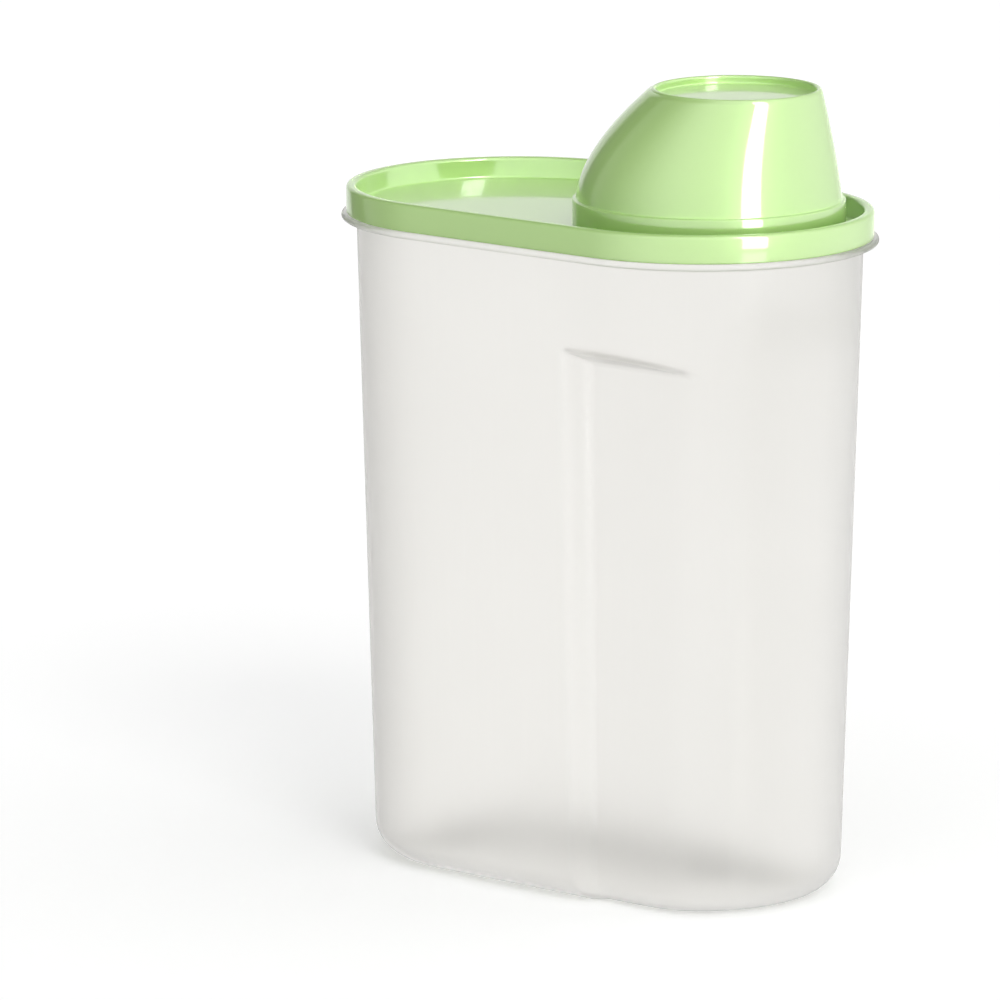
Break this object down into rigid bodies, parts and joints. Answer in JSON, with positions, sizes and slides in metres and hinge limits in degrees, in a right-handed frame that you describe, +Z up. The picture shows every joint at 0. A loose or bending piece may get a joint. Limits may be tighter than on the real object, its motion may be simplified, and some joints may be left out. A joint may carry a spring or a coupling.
{
  "type": "dry food container",
  "caption": "Tall oval tub with hand grips on both long sides, a sunken tray lid with a round pour opening, and a sloping measuring cup that caps the opening upside down.",
  "frame": {"origin": "centre of the base, on the surface the container stands on", "axes": "+Z up, +X along the container's length towards the measuring cup, +Y across its width"},
  "size_m": [0.185, 0.112, 0.256],
  "materials": {
    "frosted_tub": "milky translucent moulded polypropylene, satin",
    "green_lid": "glossy moulded plastic, light leaf green",
    "green_cup": "glossy moulded plastic, light leaf green"
  },
  "bodies": {
    "tub": {"tub": "frosted_tub"},
    "lid": {"lid": "green_lid"},
    "measuring_cup": {"measuring_cup": "green_cup"}
  },
  "joints": [
    {"name": "lid_lift", "type": "slide", "parent": "tub", "child": "lid", "axis": [0, 0, 1], "range_m": [0, 0.06]},
    {"name": "cup_lift", "type": "slide", "parent": "lid", "child": "measuring_cup", "axis": [0, 0, 1], "range_m": [0, 0.06]}
  ]
}
